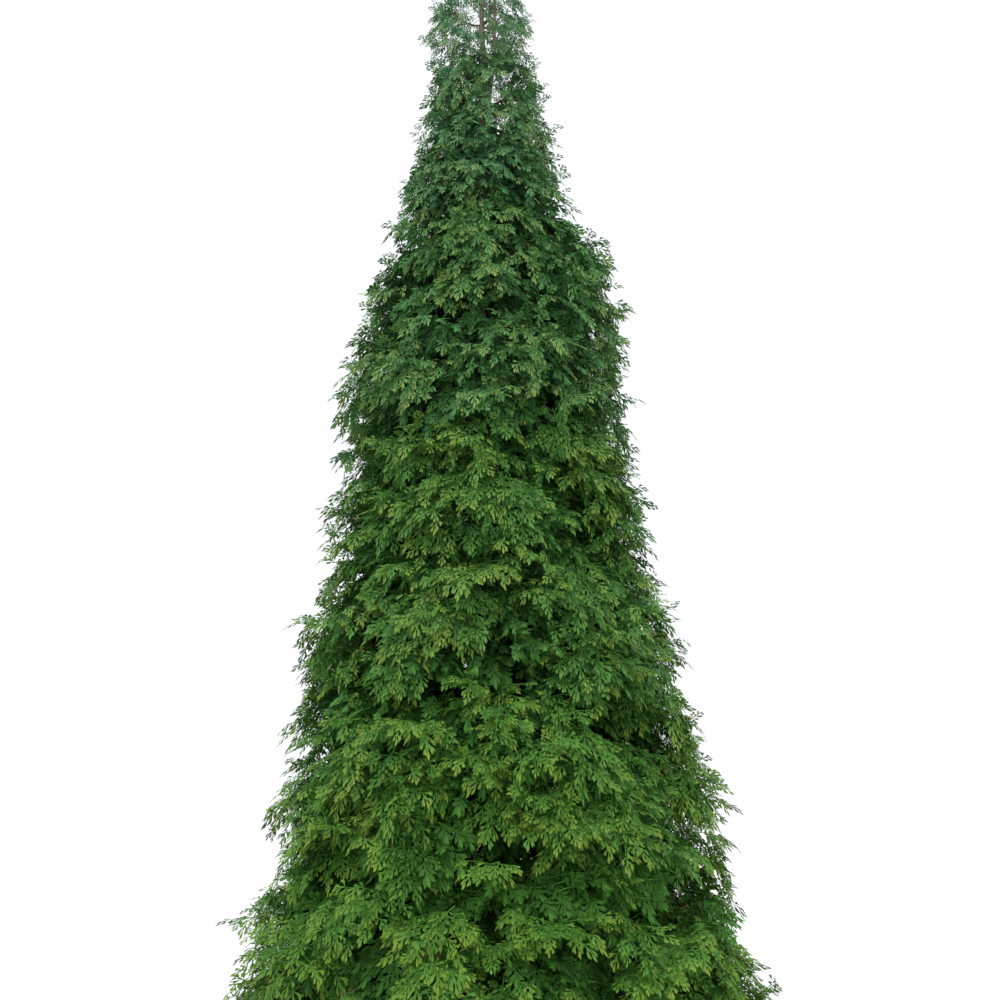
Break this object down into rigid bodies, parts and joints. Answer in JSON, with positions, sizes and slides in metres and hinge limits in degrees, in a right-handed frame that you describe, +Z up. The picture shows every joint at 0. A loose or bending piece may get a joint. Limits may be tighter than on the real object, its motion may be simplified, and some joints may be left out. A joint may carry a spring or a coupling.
{
  "type": "arborvitae tree",
  "caption": "Tall conical evergreen tree, clothed almost to the ground in drooping fans of scale-like foliage round a tapering trunk with a flared foot.",
  "frame": {"origin": "centre of the flat cut under the trunk, at ground level", "axes": "+Z up, -Y towards the viewer of the picture, +X to that viewer's right"},
  "size_m": [3.9072, 4.1015, 8.582],
  "materials": {
    "bark": "fibrous red-brown bark, weathered grey, in long vertical strips",
    "foliage": "living scale-leaf sprays, mid to yellow green, faintly glossy, darker inside the crown"
  },
  "bodies": {
    "root": {"bough_right_tuft": "bark", "bough_second_leader": "bark", "trunk": "bark", "foliage_leader": "foliage", "foliage_right_tuft": "foliage", "foliage_second_leader": "foliage", "foliage_tier1_1": "foliage", "foliage_tier1_2": "foliage", "foliage_tier1_3": "foliage", "foliage_tier1_4": "foliage", "foliage_tier1_5": "foliage", "foliage_tier1_6": "foliage", "foliage_tier2_1": "foliage", "foliage_tier2_2": "foliage", "foliage_tier2_3": "foliage", "foliage_tier2_4": "foliage", "foliage_tier2_5": "foliage", "foliage_tier2_6": "foliage", "foliage_tier3_1": "foliage", "foliage_tier3_2": "foliage", "foliage_tier3_3": "foliage", "foliage_tier3_4": "foliage", "foliage_tier3_5": "foliage", "foliage_tier3_6": "foliage", "foliage_tier4_1": "foliage", "foliage_tier4_2": "foliage", "foliage_tier4_3": "foliage", "foliage_tier4_4": "foliage", "foliage_tier4_5": "foliage", "foliage_tier5_1": "foliage", "foliage_tier5_2": "foliage", "foliage_tier5_3": "foliage", "foliage_tier5_4": "foliage", "foliage_tier5_5": "foliage", "foliage_tier6_1": "foliage", "foliage_tier6_2": "foliage", "foliage_tier6_3": "foliage", "foliage_tier6_4": "foliage", "foliage_tier7_1": "foliage", "foliage_tier7_2": "foliage", "foliage_tier7_3": "foliage", "foliage_tier7_4": "foliage", "foliage_tier8_1": "foliage", "foliage_tier8_2": "foliage", "foliage_tier8_3": "foliage", "foliage_tier9_1": "foliage", "foliage_tier9_2": "foliage", "foliage_tier9_3": "foliage"}
  },
  "joints": []
}
